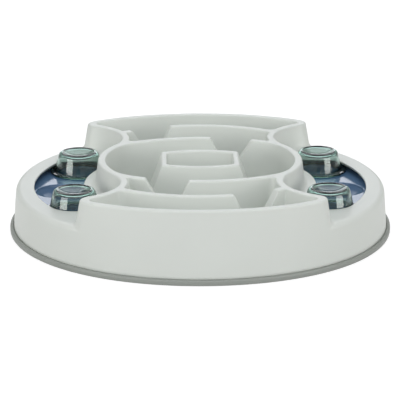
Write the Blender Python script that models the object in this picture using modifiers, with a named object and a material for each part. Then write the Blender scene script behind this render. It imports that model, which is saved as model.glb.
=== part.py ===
"""Dog puzzle feeder: a round slow-feeding bowl with a walled maze and two treat tracks.

The bowl is one thin-walled moulding that is open below. A curved slot in each side ledge
carries two clear cups, whose flanges run between the ledge and a tray screwed on from below.
Units are metres, +Z is up, the front is -Y and the origin is at the centre of the foot.
"""
import math
from collections import namedtuple

import bmesh
import bpy
import numpy as np

MM = 0.001

# Bowl: outer wall, heights and wall thicknesses
BOWL_TOP_Z = 54.6 * MM
SKIRT_FOOT_Z = 2.0 * MM
SKIRT_FOOT_RADIUS = 147.7 * MM
RIM_RADIUS = 143.6 * MM
SKIRT_SLOPE = (SKIRT_FOOT_RADIUS - RIM_RADIUS) / (BOWL_TOP_Z - SKIRT_FOOT_Z)
EDGE_ROUND = 1.7 * MM
SKIN = 2.8 * MM
MAZE_FLOOR_Z = 14.0 * MM
MAZE_WALL = 5.7 * MM
MAZE_DRAFT = math.tan(math.radians(4.5))

# The outline swells between the axes, so that it is slightly square
SWELL_TOP = 4.4 * MM
SWELL_FOOT = 1.5 * MM
SWELL_FROM_RADIUS = 106.0 * MM
SWELL_FULL_RADIUS = 136.0 * MM

# Maze walls, in plan at the top of the bowl
SIDE_RING_RADIUS = 80.4 * MM
BAY_CENTRE = (102.1 * MM, 63.75 * MM)
BAY_RADIUS = math.hypot(*BAY_CENTRE) - SIDE_RING_RADIUS
BAY_TIP_ROUND = 10.0 * MM
RECESS_SLOPE = math.tan(math.radians(8.0))
MAZE_OUTER_RADIUS = 137.3 * MM
RING_ARC_CENTRE_Y = 55.0 * MM
RING_ARC_INNER = 115.0 * MM
RING_ARC_OUTER = 121.0 * MM
MIDDLE_WALL_INNER = 100.0 * MM
MIDDLE_WALL_OUTER = 106.0 * MM
RING_ARC_END_X = -10.0 * MM
RING_STUB_END_X = 43.0 * MM
MIDDLE_WALL_END = math.radians(-77.4)
MIDDLE_STUB_END = math.radians(-57.7)
END_SLOPE = math.tan(math.radians(26.0))
STUB_END_SLOPE = math.tan(math.radians(31.0))
END_SLOPE_DEPTH = 21.0 * MM

# Island in the middle of the maze
ISLAND_HALF_LENGTH = 30.3 * MM
ISLAND_HALF_WIDTH = 26.5 * MM
ISLAND_SIDE_RADIUS = 75.0 * MM
ISLAND_RIM = 5.3 * MM
ISLAND_END_SLOPE = math.tan(math.radians(20.5))
ISLAND_FLOOR_Z = 32.0 * MM

# Side ledges and their slots
LEDGE_Z = 34.6 * MM
LEDGE_UNDER_Z = 30.6 * MM
LEDGE_EDGE_ROUND = 5.5 * MM
LEDGE_ROUND_STOP = math.radians(7.0)
TRACK_RADIUS = 111.35 * MM
TRACK_HALF_WIDTH = 19.65 * MM
TRACK_HALF_ANGLE = math.radians(29.4)
SLOT_EDGE_ROUND = 1.0 * MM

# Trays, their hollows and the screws that hold them
TRAY_TOP_Z = 28.4 * MM
TRAY_THICKNESS = 2.2 * MM
TRAY_INNER_RADIUS = 80.6 * MM
TRAY_OUTER_RADIUS = 141.4 * MM
TRAY_BAY_RADIUS = 41.4 * MM
HOLLOW_RADIUS = 18.2 * MM
HOLLOW_DEPTH = 9.0 * MM
HOLLOW_EDGE_ROUND = 1.2 * MM
BOSS_RADIUS = 2.8 * MM
BOSS_END_Z = 28.7 * MM
BOSS_PLACES = (
    (138.2 * MM, math.radians(16.0)),
    (84.8 * MM, math.radians(14.0)),
    (128.0 * MM, math.radians(47.3)),
)
PILOT_RADIUS = 1.5 * MM
PILOT_TOP_Z = 32.7 * MM
SCREW_RADIUS = 1.2 * MM
SCREW_LENGTH = 6.0 * MM
SCREW_HEAD_RADIUS = 2.4 * MM
SCREW_HEAD_HEIGHT = 1.6 * MM
SCREW_HEAD_CHAMFER = 0.7 * MM
TRAY_HOLE_RADIUS = 1.6 * MM

# Cups: the outer wall is given as (drop below the top, radius). Each cup rests just short of
# the end of its track.
CUP_TOP_Z = 46.0 * MM
CUP_CREST_RADIUS = 12.9 * MM
CUP_OUTER_WALL = (
    (0.35 * MM, 14.2 * MM),
    (1.1 * MM, 15.5 * MM),
    (2.8 * MM, 16.85 * MM),
    (5.2 * MM, 17.8 * MM),
    (9.0 * MM, 18.45 * MM),
)
CUP_FOOT_RADIUS = 18.6 * MM
CUP_FOOT_FILLET = 0.8 * MM
CUP_FLANGE_RADIUS = 23.0 * MM
CUP_FLANGE_Z = 28.7 * MM
CUP_FLANGE_THICKNESS = 1.6 * MM
CUP_FLANGE_CHAMFER = 0.35 * MM
CUP_WALL = 1.5 * MM
CUP_DISH_DEPTH = 2.4 * MM
CUP_DISH_FLAT = 0.75
CUP_REST_ANGLE = math.radians(28.8)

# Soft ring clipped round the foot
RING_OUTER_RADIUS = 150.6 * MM
RING_INNER_RADIUS = 140.6 * MM
RING_HEIGHT = 4.2 * MM
RING_SOLE = 1.7 * MM
RING_TOP_ROUND = 1.5 * MM
RING_FOOT_ROUND = 0.5 * MM
RING_INNER_CHAMFER = 0.7 * MM
GAP = 0.3 * MM

# How far a cutter runs past the faces it opens, and how closely curves are followed
OVERRUN = 3.0 * MM
CHORD_ERROR = 0.3 * MM
MERGE_DISTANCE = 0.01 * MM
ROUND_STEPS = 72
CUP_STEPS = 24
HOLLOW_STEPS = 20
SMALL_STEPS = 8

# One edge of a plan outline, walked with the enclosed area on the left. side is +1 where
# the area lies inside the circle and -1 where it lies outside. draw gives how far the
# edge moves into the area at a depth below the bowl's top.
Arc = namedtuple("Arc", "x y radius side draw")
Line = namedtuple("Line", "x y nx ny draw")


def moved(edge, distance):
    """Return the edge moved into the enclosed area by a distance."""
    if isinstance(edge, Arc):
        return edge._replace(radius=edge.radius - edge.side * distance)
    return edge._replace(x=edge.x + edge.nx * distance, y=edge.y + edge.ny * distance)


def angle_on(arc, point):
    return math.atan2(point[1] - arc.y, point[0] - arc.x)


def arc_crossings(one, two):
    """Return the two points where two circles meet."""
    span_x, span_y = two.x - one.x, two.y - one.y
    span = math.hypot(span_x, span_y)
    along = (span ** 2 + one.radius ** 2 - two.radius ** 2) / (2 * span)
    across = math.sqrt(max(one.radius ** 2 - along ** 2, 0.0))
    ux, uy = span_x / span, span_y / span
    foot = (one.x + along * ux, one.y + along * uy)
    return [(foot[0] - s * across * uy, foot[1] + s * across * ux) for s in (1, -1)]


def line_crossings(arc, line):
    """Return the two points where a circle meets a line."""
    offset = (line.x - arc.x) * line.nx + (line.y - arc.y) * line.ny
    across = math.sqrt(max(arc.radius ** 2 - offset ** 2, 0.0))
    foot = (arc.x + offset * line.nx, arc.y + offset * line.ny)
    return [(foot[0] - s * across * line.ny, foot[1] + s * across * line.nx) for s in (1, -1)]


def next_corner(edge, following, start):
    """Return the first point ahead of start on an edge that the following edge crosses."""
    if isinstance(edge, Arc) and isinstance(following, Arc):
        points = arc_crossings(edge, following)
    elif isinstance(edge, Arc):
        points = line_crossings(edge, following)
    else:
        points = line_crossings(following, edge)

    def way(point):
        if isinstance(edge, Arc):
            return (edge.side * (angle_on(edge, point) - angle_on(edge, start))) % math.tau
        return (point[0] - start[0]) * edge.ny - (point[1] - start[1]) * edge.nx

    return min((p for p in points if way(p) > 1e-7), key=way)


def corners(edges, seed_angle):
    """Walk the outline from a point on its first arc and return each edge's end corner."""
    first = edges[0]
    point = (first.x + first.radius * math.cos(seed_angle), first.y + first.radius * math.sin(seed_angle))
    found = []
    for edge, following in zip(edges, edges[1:] + edges[:1]):
        point = next_corner(edge, following, point)
        found.append(point)
    return found


def turn_of(arc, start, end):
    """Return the signed angle from start to end, walked in the arc's own direction."""
    return arc.side * ((arc.side * (angle_on(arc, end) - angle_on(arc, start))) % math.tau)


def step_counts(edges, seed_angle):
    """Return how many straight steps each edge needs for the chord error."""
    ends = corners(edges, seed_angle)
    counts = []
    for edge, start, end in zip(edges, ends[-1:] + ends[:-1], ends):
        if isinstance(edge, Line):
            counts.append(1)
            continue
        largest = 2 * math.acos(1 - CHORD_ERROR / edge.radius)
        counts.append(max(1, math.ceil(abs(turn_of(edge, start, end)) / largest)))
    return counts


def outline_points(edges, seed_angle, counts):
    """Return the outline's points in order, with a fixed number of steps on each edge."""
    ends = corners(edges, seed_angle)
    points = []
    for edge, start, end, count in zip(edges, ends[-1:] + ends[:-1], ends, counts):
        share = np.arange(count) / count
        if isinstance(edge, Arc):
            turned = angle_on(edge, start) + turn_of(edge, start, end) * share
            points.append(np.column_stack((edge.x + edge.radius * np.cos(turned),
                                           edge.y + edge.radius * np.sin(turned))))
        else:
            points.append(np.outer(1 - share, start) + np.outer(share, end))
    return np.vstack(points)


def drawn(edges):
    """Return a function that gives the outline at a depth, each edge moved by its own draw."""
    return lambda depth: [moved(edge, edge.draw(depth)) for edge in edges]


def as_planned(x, y, z):
    return x, y, z


def swelled(x, y, z):
    """Move a point of the bowl outward between the axes, more towards the rim and the top."""
    radius, angle = math.hypot(x, y), math.atan2(y, x)
    share = (radius - SWELL_FROM_RADIUS) / (SWELL_FULL_RADIUS - SWELL_FROM_RADIUS)
    share = min(max(share, 0.0), 1.0)
    swell = SWELL_FOOT + (SWELL_TOP - SWELL_FOOT) * z / BOWL_TOP_Z
    radius += swell * (1 - math.cos(4 * angle)) / 2 * share ** 2 * (3 - 2 * share)
    return radius * math.cos(angle), radius * math.sin(angle), z


def loft_object(name, edges_at, seed_angle, levels, collection, place=as_planned):
    """Make a closed solid through the outline at each (height, extra inset) level."""
    counts = step_counts(edges_at(0.0), seed_angle)
    shape = bmesh.new()
    rings = []
    for height, inset in levels:
        level = [moved(edge, inset) for edge in edges_at(BOWL_TOP_Z - height)]
        plan = outline_points(level, seed_angle, counts)
        rings.append([shape.verts.new(place(x, y, height)) for x, y in plan])
    for low, high in zip(rings, rings[1:]):
        join_rings(shape, low, high)
    shape.faces.new(rings[0][::-1])
    shape.faces.new(rings[-1])
    bmesh.ops.recalc_face_normals(shape, faces=shape.faces)
    return mesh_object(name, shape, collection)


def join_rings(shape, one, two):
    """Close the band between two rings of points; a ring of one point makes a fan."""
    count = max(len(one), len(two))
    for i in range(count):
        j = (i + 1) % count
        corners_round = (one[i % len(one)], one[j % len(one)], two[j % len(two)], two[i % len(two)])
        shape.faces.new(dict.fromkeys(corners_round))


def swelled_object(name, profile, collection):
    """Turn an (r, z) profile about the feeder's axis and swell it between the axes."""
    shape = bmesh.new()
    angles = [math.tau * i / ROUND_STEPS for i in range(ROUND_STEPS)]
    rings = [[shape.verts.new(swelled(r * math.cos(a), r * math.sin(a), z)) for a in angles]
             if r > 0 else [shape.verts.new((0.0, 0.0, z))] for r, z in profile]
    ends = zip(rings, rings[1:] + rings[:1] if profile[0][0] > 0 else rings[1:])
    for one, two in ends:
        join_rings(shape, one, two)
    bmesh.ops.recalc_face_normals(shape, faces=shape.faces)
    return mesh_object(name, shape, collection)


def mesh_object(name, shape, collection):
    mesh = bpy.data.meshes.new(name)
    shape.to_mesh(mesh)
    shape.free()
    piece = bpy.data.objects.new(name, mesh)
    collection.objects.link(piece)
    return piece


def turned_object(name, profile, steps, collection):
    """Turn an (r, z) profile, walked down its outer side, about the object's Z axis."""
    shape = bmesh.new()
    verts = [shape.verts.new((r, 0.0, z)) for r, z in profile]
    for one, two in zip(verts, verts[1:]):
        shape.edges.new((one, two))
    if profile[0][0] > 0:
        shape.edges.new((verts[-1], verts[0]))
    piece = mesh_object(name, shape, collection)
    screw = piece.modifiers.new("turn", "SCREW")
    screw.steps = steps
    screw.render_steps = steps
    screw.use_merge_vertices = True
    screw.merge_threshold = MERGE_DISTANCE
    return piece


def quarter_round(centre, radius, start, end, count):
    """Return (r, z) points on a circle from one angle to another, in degrees."""
    return [(centre[0] + radius * math.cos(math.radians(a)), centre[1] + radius * math.sin(math.radians(a)))
            for a in np.linspace(start, end, count)]


def combine(piece, other, operation):
    """Add an exact Boolean of another object to a piece."""
    step = piece.modifiers.new(f"{operation.lower()} {other.name}", "BOOLEAN")
    step.operation = operation
    step.object = other
    step.solver = "EXACT"


def as_cutter(piece):
    piece.hide_render = True
    piece.display_type = "WIRE"
    return piece


def plastic(name, colour, roughness, transmission=0.0):
    """Return a Principled material with an sRGB hex colour."""
    material = bpy.data.materials.new(name)
    material.use_nodes = True
    shader = material.node_tree.nodes["Principled BSDF"]
    parts = [int(colour[i:i + 2], 16) / 255 for i in (1, 3, 5)]
    linear = [c / 12.92 if c <= 0.04045 else ((c + 0.055) / 1.055) ** 2.4 for c in parts]
    shader.inputs["Base Color"].default_value = (*linear, 1.0)
    shader.inputs["Roughness"].default_value = roughness
    shader.inputs["Metallic"].default_value = 0.0
    shader.inputs["Transmission Weight"].default_value = transmission
    return material


def skirt_radius(height):
    return RIM_RADIUS + (BOWL_TOP_Z - height) * SKIRT_SLOPE


def wall_draw(depth):
    return depth * MAZE_DRAFT


def end_draw(slope):
    """A wall's free end slopes steadily and then drops almost upright to the floor."""
    def draw(depth):
        return min(depth, END_SLOPE_DEPTH) * slope + max(depth - END_SLOPE_DEPTH, 0.0) * MAZE_DRAFT
    return draw


def island_end_draw(depth):
    return -depth * ISLAND_END_SLOPE


def island_side_draw(depth):
    return -depth * MAZE_DRAFT


def no_draw(depth):
    return 0.0


def half_turn(edges):
    """Return the same edges turned 180 degrees about the feeder's axis."""
    turned = []
    for edge in edges:
        flipped = edge._replace(x=-edge.x, y=-edge.y)
        if isinstance(edge, Line):
            flipped = flipped._replace(nx=-edge.nx, ny=-edge.ny)
        turned.append(flipped)
    return turned


def radial_end(angle, slope, facing):
    """A wall's free end on a ray from the axis; facing +1 looks anticlockwise."""
    return Line(MIDDLE_WALL_INNER * math.cos(angle), MIDDLE_WALL_INNER * math.sin(angle),
                -facing * math.sin(angle), facing * math.cos(angle), end_draw(slope))


def maze_edges():
    """Outline of the maze pocket, round every wall, as two equal halves.

    It is walked anticlockwise: along the front wall to the right tip, back along the bay wall,
    out and in round each free wall, and round the ring to the right-hand tip at the back.
    """
    bay_x, bay_y = BAY_CENTRE
    bay = BAY_RADIUS + MAZE_WALL
    front_bay = Arc(bay_x, -bay_y, bay, -1, wall_draw)
    back_bay = Arc(bay_x, bay_y, bay, -1, wall_draw)
    outside = Arc(0.0, 0.0, MIDDLE_WALL_OUTER, -1, wall_draw)
    inside = Arc(0.0, 0.0, MIDDLE_WALL_INNER, 1, wall_draw)
    front_arc = (0.0, RING_ARC_CENTRE_Y)
    back_arc = (0.0, -RING_ARC_CENTRE_Y)
    half = [
        Arc(0.0, 0.0, MAZE_OUTER_RADIUS, 1, wall_draw),
        front_bay,
        outside,
        radial_end(MIDDLE_STUB_END, STUB_END_SLOPE, -1),
        inside,
        front_bay,
        Arc(*front_arc, RING_ARC_OUTER, -1, wall_draw),
        Line(RING_ARC_END_X, 0.0, -1.0, 0.0, end_draw(END_SLOPE)),
        Arc(*front_arc, RING_ARC_INNER, 1, wall_draw),
        Arc(0.0, 0.0, SIDE_RING_RADIUS - MAZE_WALL, 1, wall_draw),
        Arc(*back_arc, RING_ARC_INNER, 1, wall_draw),
        Line(RING_STUB_END_X, 0.0, -1.0, 0.0, end_draw(STUB_END_SLOPE)),
        Arc(*back_arc, RING_ARC_OUTER, -1, wall_draw),
        back_bay,
        inside,
        radial_end(MIDDLE_WALL_END + math.pi, END_SLOPE, 1),
        outside,
        back_bay,
    ]
    return half + half_turn(half)


def block_edges(outer_radius, depth):
    """Outline of the tall maze block: outer wall, rounded tips and the two side recesses.

    The outer wall leans like the skirt, the walls of the recesses lean more, and the tips
    stay round between them.
    """
    bay_x, bay_y = BAY_CENTRE
    outer = outer_radius + depth * SKIRT_SLOPE
    bay = BAY_RADIUS - depth * RECESS_SLOPE
    side = SIDE_RING_RADIUS + depth * RECESS_SLOPE
    tip_from_bay = bay + BAY_TIP_ROUND
    tip_from_axis = outer - BAY_TIP_ROUND
    bay_from_axis = math.hypot(bay_x, bay_y)
    along = (bay_from_axis ** 2 + tip_from_axis ** 2 - tip_from_bay ** 2) / (2 * bay_from_axis)
    across = math.sqrt(tip_from_axis ** 2 - along ** 2)
    tip_x = (along * bay_x - across * bay_y) / bay_from_axis
    tip_y = (along * bay_y + across * bay_x) / bay_from_axis
    half = [
        Arc(0.0, 0.0, outer, 1, no_draw),
        Arc(tip_x, -tip_y, BAY_TIP_ROUND, 1, no_draw),
        Arc(bay_x, -bay_y, bay, -1, no_draw),
        Arc(0.0, 0.0, side, 1, no_draw),
        Arc(bay_x, bay_y, bay, -1, no_draw),
        Arc(tip_x, tip_y, BAY_TIP_ROUND, 1, no_draw),
    ]
    return half + half_turn(half)


def island_edges(side_draw, end_draw_rule):
    """Outline of the island: two flat arcs and two straight ends."""
    centre_y = ISLAND_SIDE_RADIUS - ISLAND_HALF_WIDTH
    half = [
        Arc(0.0, centre_y, ISLAND_SIDE_RADIUS, 1, side_draw),
        Line(ISLAND_HALF_LENGTH, 0.0, -1.0, 0.0, end_draw_rule),
    ]
    return half + half_turn(half)


def slot_edges():
    """Outline of the right-hand track slot: two arcs about the axis and two round ends."""
    end_x = TRACK_RADIUS * math.cos(TRACK_HALF_ANGLE)
    end_y = TRACK_RADIUS * math.sin(TRACK_HALF_ANGLE)
    return [
        Arc(0.0, 0.0, TRACK_RADIUS + TRACK_HALF_WIDTH, 1, no_draw),
        Arc(end_x, end_y, TRACK_HALF_WIDTH, 1, no_draw),
        Arc(0.0, 0.0, TRACK_RADIUS - TRACK_HALF_WIDTH, -1, no_draw),
        Arc(end_x, -end_y, TRACK_HALF_WIDTH, 1, no_draw),
    ]


def tray_edges():
    """Outline of the right-hand tray, which fills the space below the ledge."""
    bay_x, bay_y = BAY_CENTRE
    return [
        Arc(0.0, 0.0, TRAY_OUTER_RADIUS, 1, no_draw),
        Arc(bay_x, bay_y, TRAY_BAY_RADIUS, 1, no_draw),
        Arc(0.0, 0.0, TRAY_INNER_RADIUS, -1, no_draw),
        Arc(bay_x, -bay_y, TRAY_BAY_RADIUS, 1, no_draw),
    ]


def rounded_lip(top, radius, sign):
    """Levels of an outline's edge where it rounds over into a flat top; sign +1 draws it in."""
    return [(top - radius * (1 - math.cos(a)), sign * radius * (1 - math.sin(a)))
            for a in (math.pi / 2, math.pi / 4, 0.0)]


def boss_places(side):
    """Plan places of a tray's six bosses; side is +1 on the right."""
    return [(side * r * math.cos(a), sign * r * math.sin(a)) for r, a in BOSS_PLACES for sign in (-1, 1)]


def posts_object(name, places, radius, low, high, collection):
    """Make one object of upright cylinders at several places."""
    shape = bmesh.new()
    for x, y in places:
        post = bmesh.ops.create_cone(shape, cap_ends=True, segments=SMALL_STEPS, radius1=radius,
                                     radius2=radius, depth=high - low)
        bmesh.ops.translate(shape, verts=post["verts"], vec=(x, y, (low + high) / 2))
    return mesh_object(name, shape, collection)


def turned_blank():
    """Solid of the bowl before it is hollowed, with its rounded rim."""
    lean = math.atan(SKIRT_SLOPE)
    centre_z = BOWL_TOP_Z - EDGE_ROUND
    touch_z = centre_z + EDGE_ROUND * math.sin(lean)
    centre = (skirt_radius(touch_z) - EDGE_ROUND * math.cos(lean), centre_z)
    rim = quarter_round(centre, EDGE_ROUND, 90, math.degrees(lean), 3)
    profile = [(0.0, BOWL_TOP_Z)] + rim + [(SKIRT_FOOT_RADIUS, SKIRT_FOOT_Z), (0.0, SKIRT_FOOT_Z)]
    return swelled_object("feeder_body", profile, parts)


def side_recess_cutter():
    """What is taken away above the ledges, down to their rounded outer edge."""
    lean = math.atan(SKIRT_SLOPE)
    centre_z = LEDGE_Z - LEDGE_EDGE_ROUND
    touch_z = centre_z + LEDGE_EDGE_ROUND * math.sin(lean)
    centre = (skirt_radius(touch_z) - LEDGE_EDGE_ROUND * math.cos(lean), centre_z)
    last = lean + LEDGE_ROUND_STOP
    edge = quarter_round(centre, LEDGE_EDGE_ROUND, math.degrees(last), 90, 5)
    below = (edge[0][0] + OVERRUN * math.sin(last), edge[0][1] - OVERRUN * math.cos(last))
    near, far, high = ISLAND_HALF_LENGTH, RING_OUTER_RADIUS + OVERRUN, BOWL_TOP_Z + OVERRUN
    profile = [(near, high), (far, high), (far, below[1]), below] + edge + [(near, LEDGE_Z)]
    recess = as_cutter(swelled_object("side_recess", profile, cutters))
    levels = [(below[1] - OVERRUN, 0.0), (BOWL_TOP_Z - EDGE_ROUND, 0.0)]
    levels += rounded_lip(BOWL_TOP_Z, EDGE_ROUND, 1)[1:] + [(high + OVERRUN, EDGE_ROUND)]
    keep = loft_object("maze_block", lambda depth: block_edges(RIM_RADIUS + 2 * GAP, depth), -math.pi / 2,
                       levels, cutters, swelled)
    combine(recess, as_cutter(keep), "DIFFERENCE")
    return recess


def maze_cutter():
    """Space of the maze, with its drafted walls and rounded wall tops, round the island."""
    levels = [(MAZE_FLOOR_Z, 0.0), (BOWL_TOP_Z - END_SLOPE_DEPTH, 0.0)]
    levels += rounded_lip(BOWL_TOP_Z, EDGE_ROUND, -1) + [(BOWL_TOP_Z + OVERRUN, -EDGE_ROUND)]
    maze = loft_object("maze_space", drawn(maze_edges()), -math.pi / 2, levels, cutters, swelled)
    levels = [(MAZE_FLOOR_Z - OVERRUN, 0.0)]
    levels += rounded_lip(BOWL_TOP_Z, EDGE_ROUND, 1) + [(BOWL_TOP_Z + 2 * OVERRUN, EDGE_ROUND)]
    island = island_edges(island_side_draw, island_end_draw)
    keep = loft_object("island_block", drawn(island), -math.pi / 2, levels, cutters)
    combine(maze, as_cutter(keep), "DIFFERENCE")
    return as_cutter(maze)


def island_cutter():
    """Open pocket in the island's top."""
    levels = [(ISLAND_FLOOR_Z, ISLAND_RIM)]
    levels += [(z, inset + ISLAND_RIM) for z, inset in rounded_lip(BOWL_TOP_Z, EDGE_ROUND, -1)]
    levels += [(BOWL_TOP_Z + OVERRUN, ISLAND_RIM - EDGE_ROUND)]
    pocket = drawn(island_edges(wall_draw, wall_draw))
    return as_cutter(loft_object("island_pocket", pocket, -math.pi / 2, levels, cutters))


def underside_cutter():
    """Space below the bowl's skin: under the floor and ledges and up inside the walls."""
    core_top = BOWL_TOP_Z - 2 * SKIN
    floor_under = MAZE_FLOOR_Z - SKIN
    low = SKIRT_FOOT_Z - OVERRUN
    profile = [(0.0, LEDGE_UNDER_Z), (skirt_radius(LEDGE_UNDER_Z) - SKIN, LEDGE_UNDER_Z),
               (SKIRT_FOOT_RADIUS - SKIN, low), (0.0, low)]
    under = as_cutter(swelled_object("underside", profile, cutters))
    in_walls = loft_object("wall_cores", lambda depth: block_edges(RIM_RADIUS - GAP, depth), -math.pi / 2,
                           [(LEDGE_UNDER_Z - OVERRUN, SKIN), (core_top, SKIN)], cutters, swelled)
    combine(under, as_cutter(in_walls), "UNION")
    maze_skin = loft_object("maze_skin", drawn(maze_edges()), -math.pi / 2,
                            [(floor_under, -SKIN), (BOWL_TOP_Z - END_SLOPE_DEPTH, -SKIN),
                             (core_top + SKIN / 2, -SKIN)], cutters, swelled)
    combine(under, as_cutter(maze_skin), "DIFFERENCE")
    island = drawn(island_edges(island_side_draw, island_end_draw))
    in_island = loft_object("island_core", island, -math.pi / 2,
                            [(floor_under - SKIN, SKIN), (ISLAND_FLOOR_Z - SKIN, SKIN)], cutters)
    combine(under, as_cutter(in_island), "UNION")
    places = boss_places(1) + boss_places(-1)
    bosses = posts_object("bosses", places, BOSS_RADIUS, BOSS_END_Z, LEDGE_UNDER_Z + OVERRUN, cutters)
    combine(under, as_cutter(bosses), "DIFFERENCE")
    pilots = posts_object("pilot_holes", places, PILOT_RADIUS, BOSS_END_Z - OVERRUN, PILOT_TOP_Z, cutters)
    combine(under, as_cutter(pilots), "UNION")
    return under


def build_body():
    body = turned_blank()
    combine(body, maze_cutter(), "DIFFERENCE")
    combine(body, island_cutter(), "DIFFERENCE")
    combine(body, side_recess_cutter(), "DIFFERENCE")
    combine(body, underside_cutter(), "DIFFERENCE")
    levels = [(LEDGE_UNDER_Z - OVERRUN, 0.0)]
    levels += rounded_lip(LEDGE_Z, SLOT_EDGE_ROUND, -1) + [(LEDGE_Z + OVERRUN, -SLOT_EDGE_ROUND)]
    right = loft_object("right_slot", drawn(slot_edges()), 0.0, levels, cutters)
    left = loft_object("left_slot", drawn(half_turn(slot_edges())), math.pi, levels, cutters)
    for slot in (right, left):
        combine(body, as_cutter(slot), "DIFFERENCE")
    weld = body.modifiers.new("weld", "WELD")
    weld.merge_threshold = MERGE_DISTANCE
    body.data.materials.append(plastic("pale grey polypropylene", "#D3D8D2", 0.42))
    return body


def build_ring():
    """Soft channel that grips the foot of the skirt, with a rounded shoulder outside."""
    grip = SKIRT_FOOT_RADIUS - SKIN - 2 * GAP
    chamfer = RING_INNER_CHAMFER
    shoulder = quarter_round((RING_OUTER_RADIUS - RING_TOP_ROUND, RING_HEIGHT - RING_TOP_ROUND),
                             RING_TOP_ROUND, 90, 0, 4)
    foot = quarter_round((RING_OUTER_RADIUS - RING_FOOT_ROUND, RING_FOOT_ROUND), RING_FOOT_ROUND, 0, -90, 3)
    inner = [(RING_INNER_RADIUS + chamfer, 0.0), (RING_INNER_RADIUS, chamfer),
             (RING_INNER_RADIUS, RING_HEIGHT - chamfer), (RING_INNER_RADIUS + chamfer, RING_HEIGHT),
             (grip, RING_HEIGHT), (grip, RING_SOLE), (SKIRT_FOOT_RADIUS + GAP, RING_SOLE)]
    profile = [(skirt_radius(RING_HEIGHT) + GAP, RING_HEIGHT)] + shoulder + foot + inner
    ring = swelled_object("non_slip_ring", profile, parts)
    ring.data.materials.append(plastic("grey thermoplastic rubber", "#8E918E", 0.7))
    return ring


def bowl_profile(radius, depth, top):
    """Half an ellipse hanging below the tray's face, after two points that open it upwards."""
    rim_z = TRAY_TOP_Z - HOLLOW_EDGE_ROUND
    arc = [(radius * math.cos(a), rim_z - depth * math.sin(a)) for a in np.radians(np.linspace(0, 72, 5))]
    return [(0.0, top)] + arc + [(0.0, rim_z - depth)]


def build_tray(name, side):
    """Glossy tray with three round hollows along the track and a hole for each screw."""
    seed = math.radians(30.0) if side > 0 else math.radians(210.0)
    edges = tray_edges() if side > 0 else half_turn(tray_edges())
    low = TRAY_TOP_Z - TRAY_THICKNESS
    tray = loft_object(name, drawn(edges), seed, [(low, 0.0), (TRAY_TOP_Z, 0.0)], parts)
    rim_z = TRAY_TOP_Z - HOLLOW_EDGE_ROUND
    depth = HOLLOW_DEPTH - HOLLOW_EDGE_ROUND
    lip = quarter_round((HOLLOW_RADIUS + HOLLOW_EDGE_ROUND, rim_z), HOLLOW_EDGE_ROUND, 90, 180, 3)
    high = TRAY_TOP_Z + OVERRUN
    opening = [(0.0, high), (HOLLOW_RADIUS + HOLLOW_EDGE_ROUND, high)] + lip[:-1]
    opening += bowl_profile(HOLLOW_RADIUS, depth, high)[1:]
    outside = bowl_profile(HOLLOW_RADIUS + TRAY_THICKNESS, depth + TRAY_THICKNESS, rim_z)
    for number, turn in enumerate((-TRACK_HALF_ANGLE, 0.0, TRACK_HALF_ANGLE), 1):
        place = (side * TRACK_RADIUS * math.cos(turn), TRACK_RADIUS * math.sin(turn), 0.0)
        for label, profile, operation in (("bowl", outside, "UNION"), ("hollow", opening, "DIFFERENCE")):
            shape = as_cutter(turned_object(f"{name}_{label}_{number}", profile, HOLLOW_STEPS, cutters))
            shape.location = place
            combine(tray, shape, operation)
    holes = posts_object(f"{name}_screw_holes", boss_places(side), TRAY_HOLE_RADIUS, low - OVERRUN, high,
                         cutters)
    combine(tray, as_cutter(holes), "DIFFERENCE")
    tray.data.materials.append(plastic(f"{name} slate blue ABS", "#5B6C86", 0.12))
    return tray


def cup_profile():
    """Inverted cup: dished top, leaning wall and foot flange, open below."""
    flange_top = CUP_FLANGE_Z + CUP_FLANGE_THICKNESS
    chamfer = CUP_FLANGE_CHAMFER
    dish_z = CUP_TOP_Z - CUP_DISH_DEPTH
    ceiling_z = dish_z - CUP_WALL
    dish = [(CUP_CREST_RADIUS * share, dish_z + CUP_DISH_DEPTH * share ** 4)
            for share in (0.0, 0.5, CUP_DISH_FLAT, 0.9, 1.0)]
    wall = [(radius, CUP_TOP_Z - drop) for drop, radius in CUP_OUTER_WALL]
    foot = [(CUP_FOOT_RADIUS, flange_top + CUP_FOOT_FILLET), (CUP_FOOT_RADIUS + CUP_FOOT_FILLET, flange_top)]
    flange = [(CUP_FLANGE_RADIUS - chamfer, flange_top), (CUP_FLANGE_RADIUS, flange_top - chamfer),
              (CUP_FLANGE_RADIUS, CUP_FLANGE_Z + chamfer), (CUP_FLANGE_RADIUS - chamfer, CUP_FLANGE_Z)]
    mouth = [(CUP_FOOT_RADIUS - CUP_WALL, CUP_FLANGE_Z), (CUP_FOOT_RADIUS - CUP_WALL, flange_top)]
    inside = [(r - CUP_WALL, z) for r, z in wall[:1:-1]]
    ceiling = [(CUP_CREST_RADIUS - CUP_WALL / 2, ceiling_z + CUP_WALL / 2),
               (CUP_CREST_RADIUS * CUP_DISH_FLAT, ceiling_z), (0.0, ceiling_z)]
    return dish + wall + foot + flange + mouth + inside + ceiling


def build_cup(name, angle):
    """Clear cup on an empty at the feeder's axis, about which it slides along its track."""
    hinge = bpy.data.objects.new(f"{name}_axis", None)
    parts.objects.link(hinge)
    hinge.rotation_euler = (0.0, 0.0, angle)
    cup = turned_object(name, cup_profile(), CUP_STEPS, parts)
    cup.parent = hinge
    cup.location = (TRACK_RADIUS, 0.0, 0.0)
    cup.data.materials.append(plastic(f"{name} smoky teal polycarbonate", "#A9C4BE", 0.04, 1.0))
    return cup


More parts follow.
